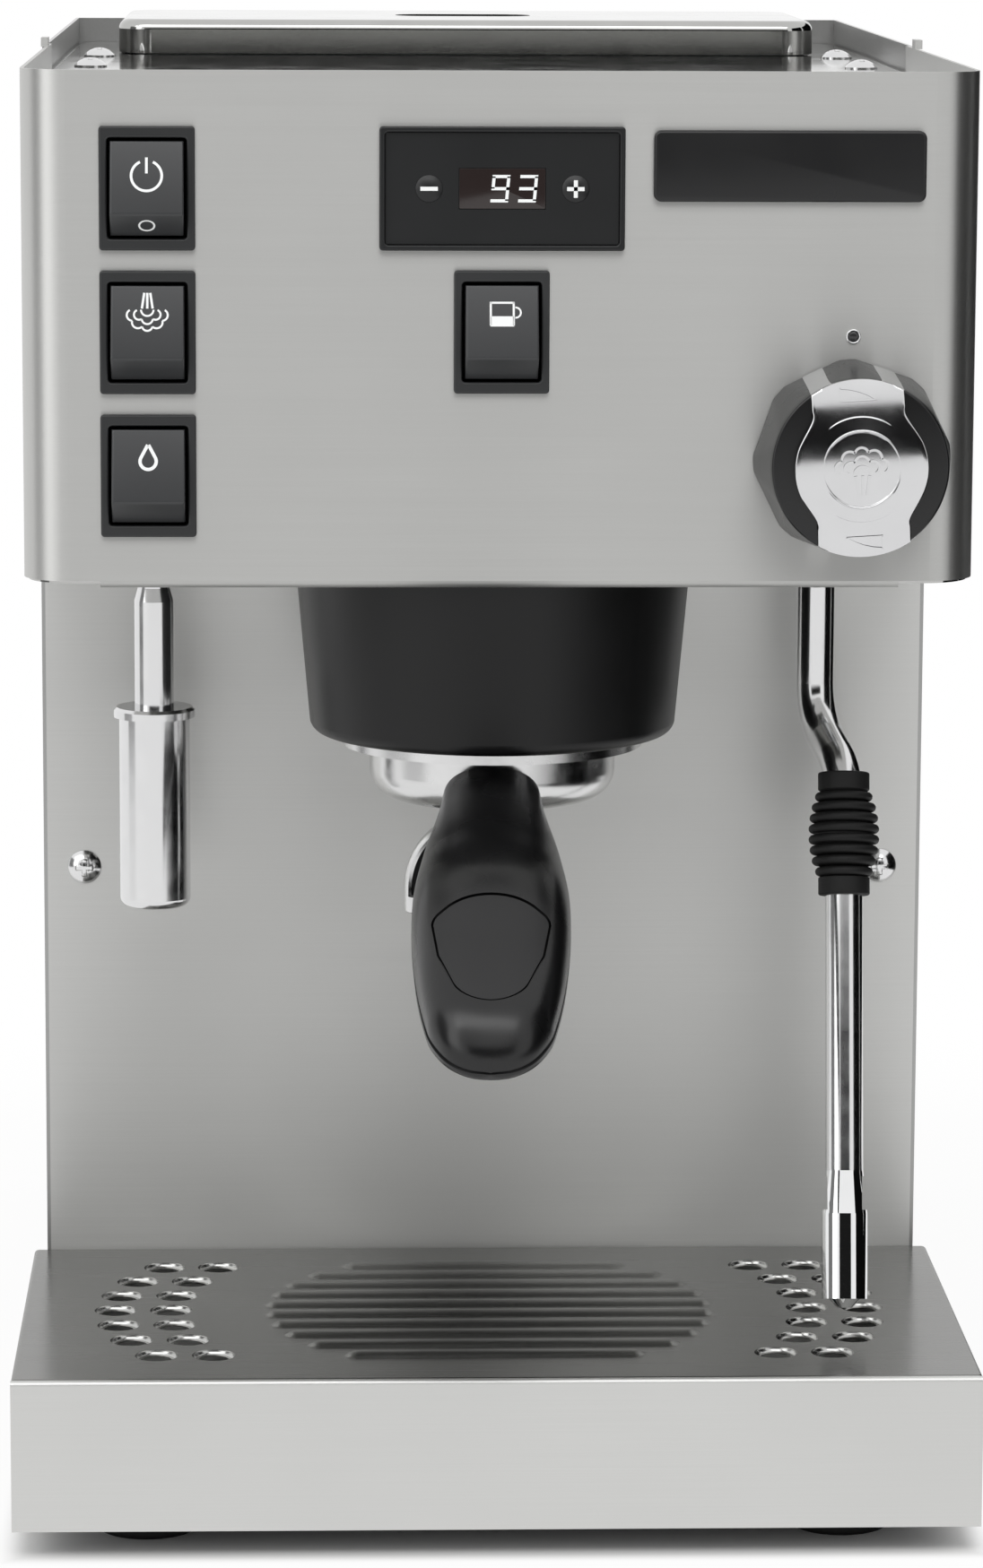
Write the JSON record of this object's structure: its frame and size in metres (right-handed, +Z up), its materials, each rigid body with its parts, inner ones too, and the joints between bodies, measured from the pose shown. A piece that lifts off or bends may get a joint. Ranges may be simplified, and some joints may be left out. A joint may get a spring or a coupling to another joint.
{
  "type": "espresso machine",
  "caption": "Home espresso machine with a steel cabinet, a locked-in filter holder under a black group cover, a steam wand, a hot-water spout, rocker switches and a drip tray.",
  "frame": {"origin": "bottom centre of the whole machine, on the surface it stands on", "axes": "+Z up, front and handle towards -Y, knob and wand on the +X side"},
  "size_m": [0.2528, 0.4989, 0.3875],
  "materials": {
    "brushed_stainless": "brushed",
    "polished_stainless": "polished",
    "chrome": "polished",
    "black_plastic": "fine texture",
    "handle_plastic": "satin",
    "black_rubber": "matte",
    "dark_window": "gloss",
    "brass": "turned",
    "copper": "drawn tube",
    "painted_steel": "powder coat",
    "clear_plastic": "clear moulded"
  },
  "bodies": {
    "cabinet": {"chassis": "painted_steel", "rubber_feet": "black_rubber", "front_panel": "brushed_stainless", "side_panel_left": "brushed_stainless", "side_panel_right": "brushed_stainless", "splash_panel": "brushed_stainless", "rear_panel": "brushed_stainless", "group_plate": "brushed_stainless", "cup_tray": "polished_stainless", "panel_screws": "chrome", "tank_seat": "black_plastic", "suction_hose": "black_rubber", "group_cover": "black_plastic", "group_head": "chrome", "group_gasket": "black_rubber", "shower_screen": "chrome", "shower_screw": "chrome", "steam_valve": "brass", "ball_nut": "chrome", "water_spout": "chrome", "spout_sleeve": "chrome", "display_bezel": "black_plastic", "display_window": "dark_window", "name_plate": "black_plastic", "index_lens": "dark_window", "brew_boiler": "brass", "steam_boiler": "brass", "boiler_stand": "painted_steel", "pump": "painted_steel", "control_box": "black_plastic", "solenoid_valve": "brass", "copper_pipes": "copper", "mains_inlet": "black_plastic", "power_switch_frame": "black_plastic", "steam_switch_frame": "black_plastic", "water_switch_frame": "black_plastic", "brew_switch_frame": "black_plastic"},
    "power_key": {"power_rocker": "black_plastic"},
    "steam_key": {"steam_rocker": "black_plastic"},
    "water_key": {"water_rocker": "black_plastic"},
    "brew_key": {"brew_rocker": "black_plastic"},
    "minus_key": {"minus_button": "black_plastic"},
    "plus_key": {"plus_button": "black_plastic"},
    "knob": {"steam_knob": "black_plastic", "knob_cap": "chrome", "steam_stem": "brass"},
    "wand_swivel": {"ball_seat": "black_plastic"},
    "wand": {"steam_wand": "chrome", "steam_grip": "black_rubber", "steam_tip": "chrome"},
    "portafilter": {"filter_holder": "chrome", "filter_basket": "chrome", "basket_spring": "chrome", "handle": "handle_plastic", "handle_insert": "handle_plastic", "twin_spout": "chrome"},
    "tray": {"drip_tray": "brushed_stainless"},
    "grate": {"drip_grate": "brushed_stainless"},
    "tank": {"water_tank": "clear_plastic"},
    "lid": {"tank_lid": "black_plastic"}
  },
  "joints": [
    {"name": "power_rock", "type": "hinge", "parent": "cabinet", "child": "power_key", "pos_m": [-0.0895, -0.1586, 0.3549], "axis": [1, 0, 0], "range_deg": [0, 16]},
    {"name": "steam_rock", "type": "hinge", "parent": "cabinet", "child": "steam_key", "pos_m": [-0.0895, -0.1586, 0.3186], "axis": [1, 0, 0], "range_deg": [0, 16]},
    {"name": "water_rock", "type": "hinge", "parent": "cabinet", "child": "water_key", "pos_m": [-0.0895, -0.1586, 0.2822], "axis": [1, 0, 0], "range_deg": [0, 16]},
    {"name": "brew_rock", "type": "hinge", "parent": "cabinet", "child": "brew_key", "pos_m": [0, -0.1586, 0.3188], "axis": [1, 0, 0], "range_deg": [0, 16]},
    {"name": "minus_press", "type": "slide", "parent": "cabinet", "child": "minus_key", "axis": [0, 1, 0], "range_m": [0, 0.0008], "stiffness_N_per_m": 400},
    {"name": "plus_press", "type": "slide", "parent": "cabinet", "child": "plus_key", "axis": [0, 1, 0], "range_m": [0, 0.0008], "stiffness_N_per_m": 400},
    {"name": "knob_turn", "type": "hinge", "parent": "cabinet", "child": "knob", "pos_m": [0.0894, -0.1598, 0.2868], "axis": [0, -1, 0], "range_deg": [0, 270]},
    {"name": "wand_turn", "type": "hinge", "parent": "cabinet", "child": "wand_swivel", "pos_m": [0.0886, -0.0765, 0.252], "axis": [0, 0, 1], "range_deg": [-25, 75]},
    {"name": "wand_tilt", "type": "hinge", "parent": "wand_swivel", "child": "wand", "pos_m": [0.0886, -0.0765, 0.252], "axis": [-1, 0, 0], "range_deg": [0, 20]},
    {"name": "portafilter_turn", "type": "hinge", "parent": "cabinet", "child": "portafilter", "pos_m": [0, -0.1025, 0.2207], "axis": [0, 0, 1], "range_deg": [-50, 0]},
    {"name": "tray_slide", "type": "slide", "parent": "cabinet", "child": "tray", "axis": [0, -1, 0], "range_m": [0, 0.14]},
    {"name": "grate_lift", "type": "slide", "parent": "tray", "child": "grate", "axis": [0, 0, 1], "range_m": [0, 0.008]},
    {"name": "tank_lift", "type": "slide", "parent": "cabinet", "child": "tank", "axis": [0, 0, 1], "range_m": [0, 0.18]},
    {"name": "lid_lift", "type": "slide", "parent": "tank", "child": "lid", "axis": [0, 0, 1], "range_m": [0, 0.08]}
  ]
}
